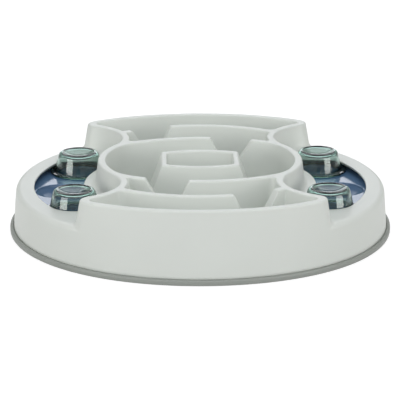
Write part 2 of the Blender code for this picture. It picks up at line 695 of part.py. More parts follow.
def build_screws():
    """Short pan-head screws, driven up through the trays into the ledges' bosses."""
    seat = TRAY_TOP_Z - TRAY_THICKNESS - GAP
    tip = seat + SCREW_LENGTH
    foot = seat - SCREW_HEAD_HEIGHT
    head = SCREW_HEAD_RADIUS
    profile = [(0.0, tip), (SCREW_RADIUS, tip - SCREW_RADIUS), (SCREW_RADIUS, seat), (head, seat),
               (head, foot + SCREW_HEAD_CHAMFER), (head - SCREW_HEAD_CHAMFER, foot), (0.0, foot)]
    steel = plastic("zinc plated steel", "#B9BCC0", 0.3)
    steel.node_tree.nodes["Principled BSDF"].inputs["Metallic"].default_value = 1.0
    for label, side in (("left", -1), ("right", 1)):
        for number, (x, y) in enumerate(boss_places(side), 1):
            screw = turned_object(f"{label}_tray_screw_{number}", profile, SMALL_STEPS, parts)
            screw.location = (x, y, 0.0)
            screw.data.materials.append(steel)


for old in list(bpy.data.objects):
    bpy.data.objects.remove(old, do_unlink=True)
parts = bpy.data.collections.new("dog_puzzle_feeder")
cutters = bpy.data.collections.new("cutters")
for group in (parts, cutters):
    bpy.context.scene.collection.children.link(group)

build_body()
build_ring()
build_tray("left_tray", -1)
build_tray("right_tray", 1)
for cup_name, rest_angle in (("cup_front_right", -CUP_REST_ANGLE), ("cup_back_right", CUP_REST_ANGLE),
                             ("cup_back_left", math.pi - CUP_REST_ANGLE),
                             ("cup_front_left", math.pi + CUP_REST_ANGLE)):
    build_cup(cup_name, rest_angle)
build_screws()
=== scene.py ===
import math
from collections import namedtuple

import bmesh
import bpy
import numpy as np
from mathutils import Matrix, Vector
from mathutils.geometry import delaunay_2d_cdt


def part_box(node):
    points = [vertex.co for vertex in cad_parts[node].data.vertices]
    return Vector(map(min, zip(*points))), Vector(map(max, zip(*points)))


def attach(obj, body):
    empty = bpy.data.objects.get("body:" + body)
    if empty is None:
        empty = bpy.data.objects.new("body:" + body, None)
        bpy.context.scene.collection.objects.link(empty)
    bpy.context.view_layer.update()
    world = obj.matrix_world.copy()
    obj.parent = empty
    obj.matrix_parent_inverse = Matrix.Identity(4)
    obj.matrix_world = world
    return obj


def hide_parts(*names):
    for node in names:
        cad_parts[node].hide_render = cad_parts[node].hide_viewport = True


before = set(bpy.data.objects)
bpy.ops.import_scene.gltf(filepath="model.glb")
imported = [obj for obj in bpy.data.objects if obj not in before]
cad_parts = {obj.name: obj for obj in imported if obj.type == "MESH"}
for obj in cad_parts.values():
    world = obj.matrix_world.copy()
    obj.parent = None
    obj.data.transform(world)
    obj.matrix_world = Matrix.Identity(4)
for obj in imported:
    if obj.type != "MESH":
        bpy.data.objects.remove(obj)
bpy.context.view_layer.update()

# Bowl body: one injection moulding in pale grey polypropylene, round but slightly square. A maze
# of upright walls stands on a thin floor, with a low ledge left and right for the track of the
# cups. The skirt leans out to its foot, and the moulding is hollow underneath. Sizes are in mm.
TOP, FLOOR, FOOT, SKIN = 54.6, 14.0, 2.0, 2.8
RIM_RADIUS, FOOT_RADIUS = 143.6, 147.7
LEAN = (FOOT_RADIUS - RIM_RADIUS) / (TOP - FOOT)
DRAFT = math.tan(math.radians(4.5))
RECESS_LEAN = math.tan(math.radians(8.0))
SWELL_TOP, SWELL_FOOT, SWELL_FROM, SWELL_FULL = 4.4, 1.5, 106.0, 136.0
WALL_EDGE, RIM_EDGE, FLOOR_FILLET = 1.1, 1.3, 2.5
INNER_CORNER, WALL_END_CORNER, SOFT_CORNER, SLIGHT_TURN = 5.0, 0.8, 6.0, 0.6
LEAST_CORNER, LEAST_ROUND, EDGE_SHARE, LEAST_TURN, STRAIGHT_ON = 0.6, 0.3, 0.4, 0.1, 0.05
FLAT_BAND, SPACING, HALVINGS = 0.2, 1.8, 40

# Edges of a plan, walked with the area on the left. An arc's side is 1 where it is walked
# anticlockwise, and draw(depth) is how far an edge has moved in at a depth below the top.
Arc = namedtuple("Arc", "x y radius side draw")
Line = namedtuple("Line", "x y nx ny draw")


def moved(edge, distance):
    """An edge shifted sideways, by a distance, into the area on its left."""
    if isinstance(edge, Arc):
        return edge._replace(radius=edge.radius - edge.side * distance)
    return edge._replace(x=edge.x + edge.nx * distance, y=edge.y + edge.ny * distance)


def crossings(one, two):
    """Both points where two edges cross: along the line of centres, or the normal, then across it."""
    if isinstance(one, Line):
        one, two = two, one
    centre, other = np.array((one.x, one.y)), np.array((two.x, two.y))
    if isinstance(two, Line):
        way = np.array((two.nx, two.ny))
        along = (other - centre) @ way
    else:
        gap = np.hypot(*(other - centre))
        way = (other - centre) / gap
        along = (gap ** 2 + one.radius ** 2 - two.radius ** 2) / (2 * gap)
    across = math.sqrt(max(one.radius ** 2 - along ** 2, 0.0))
    sides = np.array(((-way[1], way[0]), (way[1], -way[0])))
    return [centre + along * way + across * side for side in sides]


def turn_between(arc, start, end):
    """Angle walked on an arc from start to end, signed by the way it is walked."""
    first, last = (math.atan2(p[1] - arc.y, p[0] - arc.x) for p in (start, end))
    return arc.side * ((arc.side * (last - first)) % math.tau)


def length_of(edge, start, end):
    """Length of an edge between two of its points."""
    if isinstance(edge, Arc):
        return abs(turn_between(edge, start, end)) * edge.radius
    return np.hypot(*(end - start))


def heading(edge, point):
    """Unit direction of travel along an edge at a point, with the area on the left."""
    if isinstance(edge, Line):
        return np.array((edge.ny, -edge.nx))
    out = (np.array(point) - (edge.x, edge.y)) / edge.radius
    return edge.side * np.array((-out[1], out[0]))


def turn_at(one, two, corner):
    """Angle by which the walk turns left from one edge to the next at their corner."""
    a, b = heading(one, corner), heading(two, corner)
    return math.atan2(a[0] * b[1] - a[1] * b[0], a @ b)


def nearest_on(edge, point):
    """Foot of the perpendicular from a point to an edge."""
    away = point - np.array((edge.x, edge.y))
    if isinstance(edge, Line):
        normal = np.array((edge.nx, edge.ny))
        return point - normal * (away @ normal)
    return np.array((edge.x, edge.y)) + away * edge.radius / np.hypot(*away)


def corner_points(edges, seed):
    """Corners of an outline in walking order, from a seed point on its first edge."""
    point, found = np.array(seed), []
    for edge, following in zip(edges, edges[1:] + edges[:1]):
        ahead = []
        for crossing in crossings(edge, following):
            if isinstance(edge, Arc):
                way = edge.side * turn_between(edge, point, crossing)
            else:
                way = (crossing - point) @ heading(edge, point)
            if way > 1e-6:
                ahead.append((way, tuple(crossing)))
        point = np.array(min(ahead)[1])
        found.append(point)
    return found


def corner_radii(edges, seed, inner, outer):
    """Rounding radius of each corner in plan: inner where the walk turns left, outer where right.

    A slight turn gets SOFT_CORNER times the inner radius, so that its two faces blend. A rounding
    takes radius * tan(half the turn) of each edge, and at most EDGE_SHARE of the shorter one.
    """
    tops = [moved(edge, -WALL_EDGE) for edge in edges]
    ends = corner_points(tops, seed)
    lengths = [length_of(edge, ends[i - 1], ends[i]) for i, edge in enumerate(tops)]
    radii = []
    for i, corner in enumerate(ends):
        after = (i + 1) % len(tops)
        turn = turn_at(tops[i], tops[after], corner)
        room = EDGE_SHARE * min(lengths[i], lengths[after]) / math.tan(max(turn, LEAST_TURN) / 2)
        wanted = inner * (SOFT_CORNER if turn < SLIGHT_TURN else 1.0)
        radii.append(outer if turn < 0 else max(min(wanted, room - WALL_EDGE), LEAST_CORNER))
    return radii


def outline(edges, seed, counts, radii, inset, corner_steps=6):
    """Points round an outline whose corners are rounded in plan.

    A corner's rounding circle is centred where its two edges, both shifted sideways by its
    radius, cross, and it runs between the feet of the perpendiculars from that centre.
    """
    rounds = []
    for i, corner in enumerate(corner_points(edges, seed)):
        one, two = edges[i], edges[(i + 1) % len(edges)]
        turn = turn_at(one, two, corner)
        if abs(turn) < STRAIGHT_ON:
            rounds.append((corner, corner, None))
            continue
        side = 1 if turn > 0 else -1
        radius = max(radii[i] - side * inset, LEAST_ROUND)
        centre = min(crossings(moved(one, side * radius), moved(two, side * radius)),
                     key=lambda p: np.hypot(*(p - corner)))
        rounds.append((nearest_on(one, centre), nearest_on(two, centre), Arc(*centre, radius, side, None)))
    points = []
    for i, edge in enumerate(edges):
        start, (end, after, fillet) = rounds[i - 1][1], rounds[i]
        for piece, p, q, steps in ((edge, start, end, counts[i]), (fillet, end, after, corner_steps)):
            share = np.arange(steps) / steps
            if isinstance(piece, Arc):
                angle = math.atan2(p[1] - piece.y, p[0] - piece.x) + turn_between(piece, p, q) * share
                points.append(np.column_stack((piece.x + piece.radius * np.cos(angle),
                                               piece.y + piece.radius * np.sin(angle))))
            elif piece:
                points.append(np.outer(1 - share, p) + np.outer(share, q))
    return np.vstack(points)


def walls(edges, seed, levels, inner=0.0, outer=0.0):
    """Grid of an outline carried through (height, inset) levels, each edge moved by its own draw."""
    ends = corner_points(edges, seed)
    counts = [max(2, round(length_of(e, ends[i - 1], ends[i]) / SPACING)) for i, e in enumerate(edges)]
    radii = corner_radii(edges, seed, inner, outer)
    loops = []
    for height, inset in levels:
        drawn = [moved(e, e.draw(TOP - height) + inset) for e in edges]
        plan = outline(drawn, seed, counts, radii, inset)
        loops.append(np.column_stack((plan, np.full(len(plan), height))))
    return np.array(loops)


def lip(top, radius, sign, steps=8):
    """(height, inset) from a flat top over a quarter circle to the wall; sign +1 draws it in."""
    angle = np.linspace(0.0, math.pi / 2, steps + 1)
    levels = list(zip(top - radius * (1 - np.cos(angle)), sign * radius * (1 - np.sin(angle))))
    return [(top, sign * (radius + FLAT_BAND))] + levels + [(top - radius - FLAT_BAND, 0.0)]


def foot(floor, radius, sign, steps=7):
    """(height, inset) from a wall round a quarter circle on to a flat floor; sign +1 draws it in."""
    angle = np.linspace(0.0, math.pi / 2, steps + 1)
    levels = list(zip(floor + radius * (1 - np.sin(angle)), sign * radius * (1 - np.cos(angle))))
    return [(floor + radius + FLAT_BAND, 0.0)] + levels + [(floor, sign * (radius + FLAT_BAND))]


def strip(rows, closed=True, flip=False):
    """Points and quads of a grid of rows, seen from the left of the walk, or flipped from the right."""
    rows = np.asarray(rows)
    index = np.arange(rows.shape[0] * rows.shape[1]).reshape(rows.shape[:2])
    if closed:
        index = np.column_stack((index, index[:, :1]))
    quads = np.stack((index[:-1, :-1], index[:-1, 1:], index[1:, 1:], index[1:, :-1]), -1).reshape(-1, 4)
    return rows.reshape(-1, 3), quads[:, ::-1] if flip else quads, True


def within(points, loop):
    """Which points lie in a closed loop: a ray to the right crosses it an odd number of times."""
    x, y = points[:, 0, None], points[:, 1, None]
    (x1, y1), (x2, y2) = loop[:, :2].T, np.roll(loop[:, :2], -1, 0).T
    spans = (y1 > y) != (y2 > y)
    rise = np.where(y1 == y2, 1.0, y2 - y1)
    return np.sum(spans & (x1 + (y - y1) * (x2 - x1) / rise > x), 1) % 2 == 1


def flat(loops, up=True):
    """Flat face between closed loops of points, the first one outside and the rest round holes."""
    points = np.vstack(loops)
    edges, first = [], 0
    for loop in loops:
        ring = np.arange(first, first + len(loop))
        edges += np.column_stack((ring, np.roll(ring, -1))).tolist()
        first += len(loop)
    corners = [Vector(p) for p in points[:, :2].tolist()]
    plan, _, faces, _, _, _ = delaunay_2d_cdt(corners, edges, [], 1, 1e-7)
    plan, faces = np.array(plan), np.array(faces)
    middle = plan[faces].mean(1)
    keep = within(middle, loops[0])
    for hole in loops[1:]:
        keep &= ~within(middle, hole)
    faces = faces[keep] if up else faces[keep, ::-1]
    return np.column_stack((plan, np.full(len(plan), points[0, 2]))), faces, False


def turned(profile, steps, centre=(0.0, 0.0), flip=True):
    """A profile of (radius, height) carried round an upright axis through a centre."""
    radius, height = np.array(profile).T
    angle = np.arange(steps) * math.tau / steps
    rows = np.stack((centre[0] + np.outer(radius, np.cos(angle)),
                     centre[1] + np.outer(radius, np.sin(angle)),
                     np.outer(height, np.ones(steps))), -1)
    return strip(rows, flip=flip)


def swelled(rows):
    """The bowl's points moved outward between the axes: radius + swell * (1 - cos 4 angle) / 2.

    The swell grows evenly from the foot to the top, and eases in between two radii.
    """
    x, y, z = np.moveaxis(np.asarray(rows), -1, 0)
    radius, angle = np.hypot(x, y), np.arctan2(y, x)
    share = np.clip((radius - SWELL_FROM) / (SWELL_FULL - SWELL_FROM), 0, 1)
    swell = (SWELL_FOOT + (SWELL_TOP - SWELL_FOOT) * z / TOP) * share ** 2 * (3 - 2 * share)
    grown = radius + swell * (1 - np.cos(4 * angle)) / 2
    return np.stack((grown * np.cos(angle), grown * np.sin(angle), z), -1)


def opposite(surface):
    """The same surface half a turn round the upright axis."""
    points, faces, smooth = surface
    return points * (-1.0, -1.0, 1.0), faces, smooth


def make_piece(name, surfaces, material):
    """One closed mesh of several surfaces, in metres, with the points that they share merged."""
    points, faces, smooth = zip(*surfaces)
    starts = np.cumsum([0] + [len(p) for p in points])
    joined = [face for part, start in zip(faces, starts) for face in (part + start).tolist()]
    mesh = bpy.data.meshes.new(name)
    mesh.from_pydata((np.vstack(points) * 0.001).tolist(), [], joined)
    mesh.polygons.foreach_set("use_smooth", np.repeat(smooth, [len(part) for part in faces]))
    shape = bmesh.new()
    shape.from_mesh(mesh)
    bmesh.ops.remove_doubles(shape, verts=shape.verts, dist=2e-6)
    bmesh.ops.dissolve_degenerate(shape, edges=shape.edges, dist=1e-7)
    shape.to_mesh(mesh)
    shape.free()
    mesh.materials.append(material)
    piece = bpy.data.objects.new(name, mesh)
    bpy.context.scene.collection.objects.link(piece)
    return piece


def linear(code):
    """Linear colour of an sRGB hex code: code/12.92 near black, else a power of 2.4."""
    c = np.array([int(code[i:i + 2], 16) for i in (1, 3, 5)]) / 255
    return (*np.where(c <= 0.04045, c / 12.92, ((c + 0.055) / 1.055) ** 2.4), 1.0)


def wire(tree, node, sockets):
    """Set each named socket of a node to an even value, or link it to another node's output."""
    for name, value in sockets.items():
        if isinstance(value, bpy.types.NodeSocket):
            tree.links.new(value, node.inputs[name])
        else:
            node.inputs[name].default_value = value


def add(tree, kind, sockets, **settings):
    """Add a shader node with its settings, and set or link its named sockets."""
    made = tree.nodes.new("ShaderNode" + kind)
    for name, value in settings.items():
        setattr(made, name, value)
    wire(tree, made, sockets)
    return made


def new_material(name, sockets):
    """A material of one Principled shader, with its even values set; gives tree, shader and place."""
    material = bpy.data.materials.new(name)
    material.use_nodes = True
    tree = material.node_tree
    shader = tree.nodes["Principled BSDF"]
    wire(tree, shader, sockets)
    return material, tree, shader, add(tree, "TexCoord", {}).outputs["Object"]


def maze_wall(depth):
    """How a maze wall draws: it leans evenly, so the channel narrows to its floor."""
    return depth * DRAFT


END_SLOPE_DEPTH = 21.0


def wall_end(degrees):
    """How a free wall end draws: it slopes to a depth, then stands as steep as the walls."""
    slope = math.tan(math.radians(degrees))
    return lambda depth: min(depth, END_SLOPE_DEPTH) * slope + max(depth - END_SLOPE_DEPTH, 0.0) * DRAFT


def half_turn(edges):
    """The same edges half a turn round the upright axis."""
    turned_edges = [edge._replace(x=-edge.x, y=-edge.y) for edge in edges]
    return [e._replace(nx=-e.nx, ny=-e.ny) if isinstance(e, Line) else e for e in turned_edges]


def spoke_end(degrees, slope, facing):
    """Free end of the middle wall, on a spoke at an angle, facing one way round or the other."""
    c, s = math.cos(math.radians(degrees)), math.sin(math.radians(degrees))
    return Line(MIDDLE_INNER * c, MIDDLE_INNER * s, -facing * s, facing * c, wall_end(slope))


# Maze: one outline round all the channels, which join through the gaps at the walls' free ends. Its
# back half is the front half turned.
BAY_X, BAY_Y, SIDE_RING, TIP_ROUND, WALL = 102.1, 63.75, 80.4, 10.0, 5.7
BAY_RADIUS = math.hypot(BAY_X, BAY_Y) - SIDE_RING
MAZE_OUTER, MIDDLE_INNER, MIDDLE_OUTER = 137.3, 100.0, 106.0
ARC_Y, ARC_INNER, ARC_OUTER = 55.0, 115.0, 121.0
LONG_SLOPE, SHORT_SLOPE = 26.0, 31.0
LONG_END_X, SHORT_END_X, LONG_END_ANGLE, SHORT_END_ANGLE = -10.0, 43.0, 102.6, -57.7
MAZE_LEVELS = (45.0, TOP - END_SLOPE_DEPTH, 24.0)
bay_front = Arc(BAY_X, -BAY_Y, BAY_RADIUS + WALL, -1, maze_wall)
bay_back = bay_front._replace(y=BAY_Y)
middle_outside = Arc(0, 0, MIDDLE_OUTER, -1, maze_wall)
middle_inside = Arc(0, 0, MIDDLE_INNER, 1, maze_wall)
maze_edges = [
    Arc(0, 0, MAZE_OUTER, 1, maze_wall), bay_front,
    middle_outside, spoke_end(SHORT_END_ANGLE, SHORT_SLOPE, -1), middle_inside, bay_front,
    Arc(0, ARC_Y, ARC_OUTER, -1, maze_wall), Line(LONG_END_X, 0, -1, 0, wall_end(LONG_SLOPE)),
    Arc(0, ARC_Y, ARC_INNER, 1, maze_wall),
    Arc(0, 0, SIDE_RING - WALL, 1, maze_wall),
    Arc(0, -ARC_Y, ARC_INNER, 1, maze_wall), Line(SHORT_END_X, 0, -1, 0, wall_end(SHORT_SLOPE)),
    Arc(0, -ARC_Y, ARC_OUTER, -1, maze_wall), bay_back,
    middle_inside, spoke_end(LONG_END_ANGLE, LONG_SLOPE, 1), middle_outside, bay_back,
]
maze_edges += half_turn(maze_edges)
maze_seed = (0.0, -MAZE_OUTER)
maze_levels = lip(TOP, WALL_EDGE, -1) + [(z, 0.0) for z in MAZE_LEVELS] + foot(FLOOR, FLOOR_FILLET, 1)
maze = swelled(walls(maze_edges, maze_seed, maze_levels, INNER_CORNER, WALL_END_CORNER))

# Island: a block in the middle as tall as the walls, with a pocket in its top.
ISLAND_LENGTH, ISLAND_WIDTH, ISLAND_BOW, ISLAND_WALL, ISLAND_FLOOR = 30.3, 26.5, 75.0, 5.3, 32.0
ISLAND_END = math.tan(math.radians(20.5))
POCKET_CORNER, POCKET_END_WALL, POCKET_FILLET = 4.0, 4.0, 2.0
ISLAND_LEVELS, POCKET_LEVELS = (44.0, 30.0), (43.0,)


def island_edges(side_wall, side_slope, end_wall, end_slope):
    """Outline of the island: two flat arcs and two straight ends, drawn in by wall + slope * depth."""
    half = [Arc(0, ISLAND_BOW - ISLAND_WIDTH, ISLAND_BOW, 1, lambda depth: side_wall + depth * side_slope),
            Line(ISLAND_LENGTH, 0, -1, 0, lambda depth: end_wall + depth * end_slope)]
    return half + half_turn(half)


island_seed = (0.0, -ISLAND_WIDTH)
island_outside = island_edges(0.0, -DRAFT, 0.0, -ISLAND_END)
island_levels = lip(TOP, WALL_EDGE, 1) + [(z, 0.0) for z in ISLAND_LEVELS] + foot(FLOOR, FLOOR_FILLET, -1)
island = walls(island_outside, island_seed, island_levels, WALL_END_CORNER)
pocket_edges = island_edges(ISLAND_WALL, DRAFT, POCKET_END_WALL, DRAFT)
pocket_levels = lip(TOP, WALL_EDGE, -1) + [(z, 0.0) for z in POCKET_LEVELS]
pocket_levels += foot(ISLAND_FLOOR, POCKET_FILLET, 1)
pocket = walls(pocket_edges, island_seed, pocket_levels, POCKET_CORNER)
body = [strip(maze), flat([maze[-1], island[-1]]), strip(island, flip=True),
        flat([island[0], pocket[0]]), strip(pocket), flat([pocket[-1]])]

# Side recess: the leaning wall between two tips, and the ledge at its foot, which rounds over into
# the skirt. The right one is made, and turned for the left.
LEDGE, LEDGE_UNDER, LEDGE_ROUND, LEDGE_FILLET = 34.6, 30.6, 4.5, 4.0
STEEPEST, FLUSH, NEAR = 0.9999, 0.02, 1e-6
lean_angle = math.atan(LEAN)
round_z = LEDGE - LEDGE_ROUND
touch_z = round_z + LEDGE_ROUND * math.sin(lean_angle)


def skirt(height):
    """Radius of the leaning skirt at a height."""
    return RIM_RADIUS + (TOP - height) * LEAN


round_radius = skirt(touch_z) - LEDGE_ROUND * math.cos(lean_angle)


def ledge_height(radius):
    """Height of a side ledge at a radius: flat, then a quarter circle down to the skirt."""
    share = np.clip((radius - round_radius) / LEDGE_ROUND, 0, 1)
    on_round = round_z + LEDGE_ROUND * np.sqrt(1 - share ** 2)
    return np.where(radius > skirt(touch_z), TOP - (radius - RIM_RADIUS) / LEAN, on_round)


def ledge_foot(base, drift, out):
    """Fillet between the recess wall and the ledge: its three points for a curve, and its end's radius.

    The wall leans away from base by drift for each mm of depth. Its height at the ledge is found by
    halving. The fillet's ends lie radius / tan(half the angle between wall and ledge) from there.
    """
    def on_wall(height):
        """The wall's points at their heights."""
        return np.column_stack((base + drift * (TOP - height)[:, None], height))

    low, high = np.full(len(base), touch_z), np.full(len(base), LEDGE)
    for _ in range(HALVINGS):
        middle = (low + high) / 2
        above = middle > ledge_height(np.hypot(*on_wall(middle)[:, :2].T))
        high, low = np.where(above, middle, high), np.where(above, low, middle)
    corner = on_wall(high)
    radius = np.hypot(*corner[:, :2].T)
    share = np.clip((radius - round_radius) / LEDGE_ROUND, 0, STEEPEST)
    fall = -share / np.sqrt(1 - share ** 2) * np.sum(corner[:, :2] * out, 1) / radius
    lean = np.sum(drift * out, 1)
    angle = np.arccos(np.clip((fall - lean) / np.hypot(1, lean) / np.hypot(1, fall), -1, 1))
    reach = np.where(angle > math.pi - FLUSH, 0.0, LEDGE_FILLET / np.tan(angle / 2))
    start = on_wall(high + reach / np.hypot(1, lean))
    end = corner[:, :2] + out * (reach / np.hypot(1, fall))[:, None]
    end_radius = np.hypot(*end.T)
    return start, corner, np.column_stack((end, ledge_height(end_radius))), end_radius


def half_path(depth, tip_share):
    """Half of the maze block's outline at a depth: round a tip, along the bay and on to the ring.

    The tip's circle touches the outer wall and the bay. Gives points and outward directions.
    """
    lean = depth * RECESS_LEAN
    bay = np.array((BAY_X, -BAY_Y))
    tip = min(crossings(Arc(0, 0, RIM_RADIUS + depth * LEAN - TIP_ROUND, 1, None),
                        Arc(*bay, BAY_RADIUS - lean + TIP_ROUND, 1, None)), key=lambda p: p[0])
    start, end, ring = (math.atan2(v[1], v[0]) for v in (tip, bay - tip, bay))
    points, outward = [], []
    for centre, radius, side, angle in (
        (tip, TIP_ROUND, 1, start + (end - start) * tip_share),
        (bay, BAY_RADIUS - lean, -1, np.linspace(end, ring, BAY_STEPS, endpoint=False) + math.pi),
        (np.zeros(2), SIDE_RING + lean, 1, np.linspace(ring, 0.0, RING_STEPS)),
    ):
        way = np.column_stack((np.cos(angle), np.sin(angle)))
        points.append(centre + radius * way)
        outward.append(side * way)
    return np.vstack(points), np.vstack(outward)


# One of the tip's points, found by halving, lies where the fillet begins to end on the ledge's flat.
TIP_STEPS, SHOULDER_STEPS, BAY_STEPS, RING_STEPS = 20, 11, 30, 18
UPRIGHT_STEPS, FILLET_STEPS, SIDE_STEPS, ROUND_STEPS, FRONT_STEPS = 6, 10, 110, 12, 160
LEAN_DEPTH = TOP - touch_z
low, high = 0.0, 1.0
for _ in range(HALVINGS):
    middle = (low + high) / 2
    (upper, _), (lower, way) = (half_path(depth, np.array([middle])) for depth in (0.0, LEAN_DEPTH))
    reached = ledge_foot(upper[:1], (lower - upper)[:1] / LEAN_DEPTH, way[:1])[3][0]
    low, high = (middle, high) if reached > round_radius + NEAR else (low, middle)
tip_share = np.concatenate((np.linspace(0, high, TIP_STEPS, endpoint=False),
                            np.linspace(high, 1, SHOULDER_STEPS, endpoint=False)))
paths = half_path(0.0, tip_share) + half_path(LEAN_DEPTH, tip_share)
base, out, low_base, low_out = (np.vstack((half, half[-2::-1] * (1, -1))) for half in paths)
drift = (low_base - base) / LEAN_DEPTH


def recess_row(height, inset=0.0, way=out):
    """One level of the recess wall, set in against the outward direction."""
    height = np.broadcast_to(height, len(base))
    return np.column_stack((base + drift * (TOP - height)[:, None] - way * inset, height))


rim_levels = lip(TOP, RIM_EDGE, 1)
low_rim = rim_levels[-1][0]
wall_end_point, corner, fillet_end, _ = ledge_foot(base, drift, low_out)
recess = [recess_row(z, inset) for z, inset in rim_levels]
recess += [recess_row(low_rim + (wall_end_point[:, 2] - low_rim) * t)
           for t in np.linspace(0, 1, UPRIGHT_STEPS + 1)[1:]]
upright_rows = len(recess)
recess += [(1 - t) ** 2 * wall_end_point + 2 * t * (1 - t) * corner + t ** 2 * fillet_end
           for t in np.linspace(0, 1, FILLET_STEPS + 1)[1:]]

# The ledge's round starts at the recess's last row at the tips, and at the ledge's flat between them.
ledge_line = recess[-1]
flat_from, flat_to = TIP_STEPS, len(base) - TIP_STEPS
line_angle = np.arctan2(ledge_line[:, 1], ledge_line[:, 0])
flat_angle = np.linspace(line_angle[flat_from], line_angle[flat_to - 1], SIDE_STEPS)
side_angle = np.concatenate((line_angle[:flat_from], flat_angle, line_angle[flat_to:]))
line_lift = np.arcsin(np.clip((ledge_line[:, 2] - round_z) / LEDGE_ROUND, 0, 1))
lift = np.concatenate((line_lift[:flat_from], np.full(SIDE_STEPS, math.pi / 2), line_lift[flat_to:]))
down = np.linspace(0, 1, ROUND_STEPS + 1)[:, None]
around = lift * (1 - down) + lean_angle * down
radius, height = round_radius + LEDGE_ROUND * np.cos(around), round_z + LEDGE_ROUND * np.sin(around)
ledge_round = np.stack((radius * np.cos(side_angle), radius * np.sin(side_angle), height), -1)
ledge_round[0, :flat_from], ledge_round[0, -flat_from:] = ledge_line[:flat_from], ledge_line[-flat_from:]
ledge_round[:, [0, -1]] = ledge_line[[0, -1]]
tip_z = ledge_line[0, 2]

# Skirt: the outer wall down to the foot and up again inside, below the ledge and across the front.
SKIRT_LEVELS = (24.0, 18.0, 12.0, 6.0, FOOT)
INSIDE_LEVELS = (FOOT, 6.0, 18.0, LEDGE_UNDER)
CORE_LEVELS = (TOP - 2 * SKIN, 40.0, LEDGE_UNDER)


def arc_row(angle, radius, height):
    """One level of points at a radius about the axis."""
    return np.column_stack((radius * np.cos(angle), radius * np.sin(angle), np.full(len(angle), height)))


def front_row(height, inset):
    """One level of the front wall, between the tips."""
    end = base[0] + drift[0] * (TOP - max(height, tip_z))
    end = math.atan2(end[1], end[0])
    return arc_row(np.linspace(-math.pi - end, end, FRONT_STEPS), skirt(height) - inset, height)


skirt_levels = [(z, 0.0) for z in SKIRT_LEVELS] + [(z, SKIN) for z in INSIDE_LEVELS]
side_skirt = [arc_row(side_angle, skirt(z) - inset, z) for z, inset in skirt_levels]
side_rows = np.concatenate((ledge_round, side_skirt))
core = [recess_row(z, SKIN, low_out) for z in CORE_LEVELS]
core[-1][[0, -1]] = side_rows[-1][[0, -1]]
front_levels = rim_levels + [(z, 0.0) for z in np.linspace(low_rim, tip_z, UPRIGHT_STEPS + 1)[1:]]
front_levels += skirt_levels + [(z, SKIN) for z in CORE_LEVELS[1::-1]]
front_rows = np.array([front_row(z, inset) for z, inset in front_levels])
ends = [row[0] for row in recess[:upright_rows]] + list(front_rows[upright_rows:-len(core), -1])
ends += [row[0] for row in core[::-1]]
front_rows[:, -1], front_rows[:, 0] = ends, np.array(ends) * (-1, 1, 1)
recess, side_rows, front_rows, core = (swelled(rows) for rows in (recess, side_rows, front_rows, core))
rim_half = np.vstack((front_rows[0][:-1], recess[0][:-1]))
body.append(flat([np.vstack((rim_half, rim_half * (-1, -1, 1))), maze[0]]))

# Track: a curved slot through the ledge with a thin lip, undercut below for the cups' flanges.
TRACK_RADIUS, TRACK_HALF, TRACK_ANGLE = 111.35, 19.65, math.radians(29.4)
SLOT_EDGE, SLOT_LIP, SLOT_UNDERCUT = 0.6, 1.4, 3.2


def no_draw(depth):
    """How an upright edge draws: it stays where it is at every depth."""
    return 0.0


end_x, end_y = TRACK_RADIUS * math.cos(TRACK_ANGLE), TRACK_RADIUS * math.sin(TRACK_ANGLE)
slot_edges = [Arc(0, 0, TRACK_RADIUS + TRACK_HALF, 1, no_draw), Arc(end_x, end_y, TRACK_HALF, 1, no_draw),
              Arc(0, 0, TRACK_RADIUS - TRACK_HALF, -1, no_draw), Arc(end_x, -end_y, TRACK_HALF, 1, no_draw)]
slot_levels = lip(LEDGE, SLOT_EDGE, -1) + [(LEDGE - SLOT_LIP, 0.0), (LEDGE_UNDER, -SLOT_UNDERCUT)]
slot = walls(slot_edges, (TRACK_RADIUS + TRACK_HALF, 0.0), slot_levels)
round_line = side_rows[0, flat_from + 1:-flat_from - 1][::-1]
ledge_loop = np.vstack((recess[-1, flat_from:flat_to], round_line))

# Bosses: six short posts below each ledge, with a pilot hole each, in pairs at (radius, degrees).
BOSS_RADIUS, BOSS_END, PILOT_RADIUS, PILOT_TOP, BOSS_STEPS = 2.8, 28.7, 1.5, 32.7, 20
BOSS_RINGS = ((138.2, 16.0), (84.8, 14.0), (128.0, 47.3))
boss_polar = [(r, math.radians(side * a)) for r, a in BOSS_RINGS for side in (1, -1)]
boss_places = [(r * math.cos(a), r * math.sin(a)) for r, a in boss_polar]
boss = [(BOSS_RADIUS, LEDGE_UNDER), (BOSS_RADIUS, BOSS_END), (PILOT_RADIUS, BOSS_END),
        (PILOT_RADIUS, PILOT_TOP), (0.0, PILOT_TOP)]
bosses = [turned(boss, BOSS_STEPS, at) for at in boss_places]
under_loop = np.vstack((core[-1], side_rows[-1][::-1][1:-1]))
under_loops = [under_loop, slot[-1]] + [b[0][:BOSS_STEPS] for b in bosses]
right_side = [strip(recess, closed=False, flip=True), strip(side_rows, closed=False, flip=True),
              strip(slot), flat([ledge_loop, slot[0]]), strip(front_rows, closed=False, flip=True),
              strip(core, closed=False), flat(under_loops, up=False)] + bosses
body += right_side + [opposite(surface) for surface in right_side]

# Underside: the back of channels and island, one skin behind their faces and two below the walls' tops.
core_levels = [(TOP - 2 * SKIN, -SKIN), (TOP - END_SLOPE_DEPTH, -SKIN), (FLOOR - SKIN, -SKIN)]
maze_skin = swelled(walls(maze_edges, maze_seed, core_levels, INNER_CORNER, WALL_END_CORNER))
island_core = walls(island_outside, island_seed, [(ISLAND_FLOOR - SKIN, SKIN), (FLOOR - SKIN, SKIN)])
core_half = np.vstack((front_rows[-1][:-1], core[0][:-1]))
core_top = flat([np.vstack((core_half, core_half * (-1, -1, 1))), maze_skin[0]], up=False)
body += [strip(maze_skin, flip=True), core_top, flat([maze_skin[-1], island_core[-1]], up=False),
         strip(island_core), flat([island_core[0]], up=False)]

